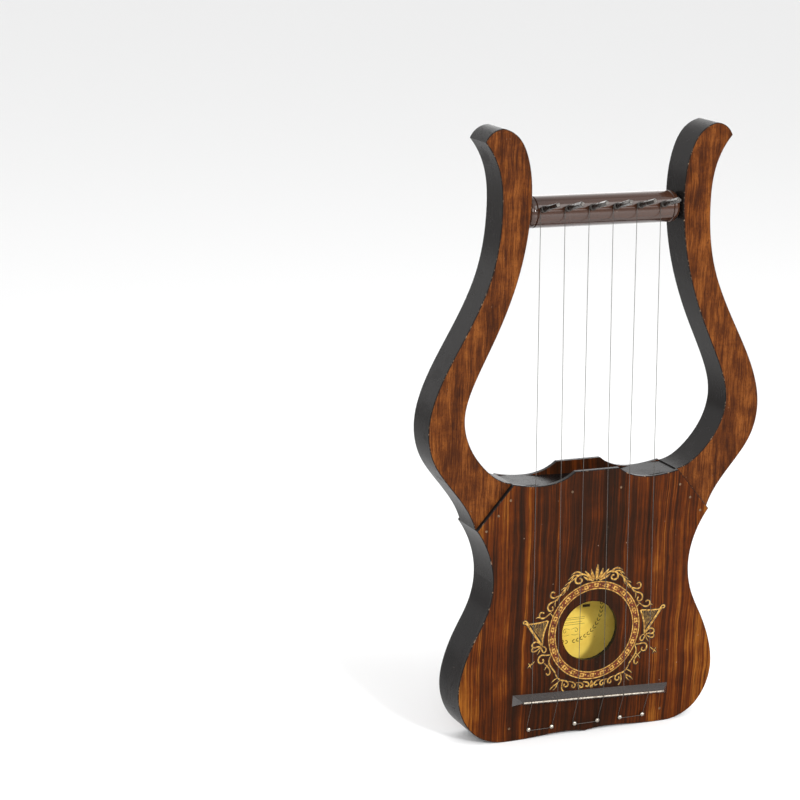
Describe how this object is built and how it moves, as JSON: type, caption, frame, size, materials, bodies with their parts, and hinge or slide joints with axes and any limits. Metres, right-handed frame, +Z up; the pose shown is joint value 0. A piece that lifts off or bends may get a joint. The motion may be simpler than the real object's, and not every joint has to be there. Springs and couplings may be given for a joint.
{
  "type": "lyre",
  "caption": "Hand-held lyre with curved wooden arms, a waisted sound box, a turned crossbar, tuning pins and looped wire strings.",
  "frame": {"origin": "floor level under the lobes, at the middle of the bounding box", "axes": "+Z up along the arms, -Y out of the soundboard towards the player's audience, +X to the right of someone facing the soundboard"},
  "size_m": [0.316, 0.06, 0.531],
  "materials": {
    "arm_wood": "satin, stained, darker at the edges",
    "black_lacquer": "satin black lacquer on wood",
    "board_wood": "satin, stained",
    "brace_wood": "raw",
    "bar_lacquer": "gloss lacquer",
    "bridge_lacquer": "gloss black lacquer",
    "nickel": "polished",
    "brad_steel": "dull",
    "label_paper": "aged paper, printed",
    "pin_steel": "dark, burnished",
    "string_steel": "drawn wire",
    "gold_print": "worn gold transfer",
    "red_print": "worn red transfer",
    "dark_print": "printed ink or dark transfer"
  },
  "bodies": {
    "frame": {"left_arm": "arm_wood", "right_arm": "arm_wood", "left_rib": "black_lacquer", "right_rib": "black_lacquer", "bottom_block": "black_lacquer", "top_rail": "black_lacquer", "soundboard": "board_wood", "back_board": "board_wood", "front_brace_upper": "brace_wood", "front_brace_lower": "brace_wood", "back_brace_upper": "brace_wood", "back_brace_lower": "brace_wood", "crossbar": "bar_lacquer", "bridge": "bridge_lacquer", "saddle_rod": "nickel", "hitch_pins": "nickel", "front_brads": "brad_steel", "back_brads": "brad_steel", "paper_label": "label_paper", "string_pair_1": "string_steel", "string_pair_2": "string_steel", "string_pair_3": "string_steel"},
    "pin_1": {"tuning_pin_1": "pin_steel", "string_coil_1": "string_steel"},
    "pin_2": {"tuning_pin_2": "pin_steel", "string_coil_2": "string_steel"},
    "pin_3": {"tuning_pin_3": "pin_steel", "string_coil_3": "string_steel"},
    "pin_4": {"tuning_pin_4": "pin_steel", "string_coil_4": "string_steel"},
    "pin_5": {"tuning_pin_5": "pin_steel", "string_coil_5": "string_steel"},
    "pin_6": {"tuning_pin_6": "pin_steel", "string_coil_6": "string_steel"}
  },
  "joints": [
    {"name": "tune_1", "type": "hinge", "parent": "frame", "child": "pin_1", "pos_m": [-0.0602, 0.0102, 0.459], "axis": [0, -0.9563, 0.2924], "continuous": true},
    {"name": "tune_2", "type": "hinge", "parent": "frame", "child": "pin_2", "pos_m": [-0.0376, 0.0102, 0.459], "axis": [0, -0.9563, 0.2924], "continuous": true},
    {"name": "tune_3", "type": "hinge", "parent": "frame", "child": "pin_3", "pos_m": [-0.015, 0.0102, 0.459], "axis": [0, -0.9563, 0.2924], "continuous": true},
    {"name": "tune_4", "type": "hinge", "parent": "frame", "child": "pin_4", "pos_m": [0.0076, 0.0102, 0.459], "axis": [0, -0.9563, 0.2924], "continuous": true},
    {"name": "tune_5", "type": "hinge", "parent": "frame", "child": "pin_5", "pos_m": [0.0302, 0.0102, 0.459], "axis": [0, -0.9563, 0.2924], "continuous": true},
    {"name": "tune_6", "type": "hinge", "parent": "frame", "child": "pin_6", "pos_m": [0.0528, 0.0102, 0.459], "axis": [0, -0.9563, 0.2924], "continuous": true}
  ]
}
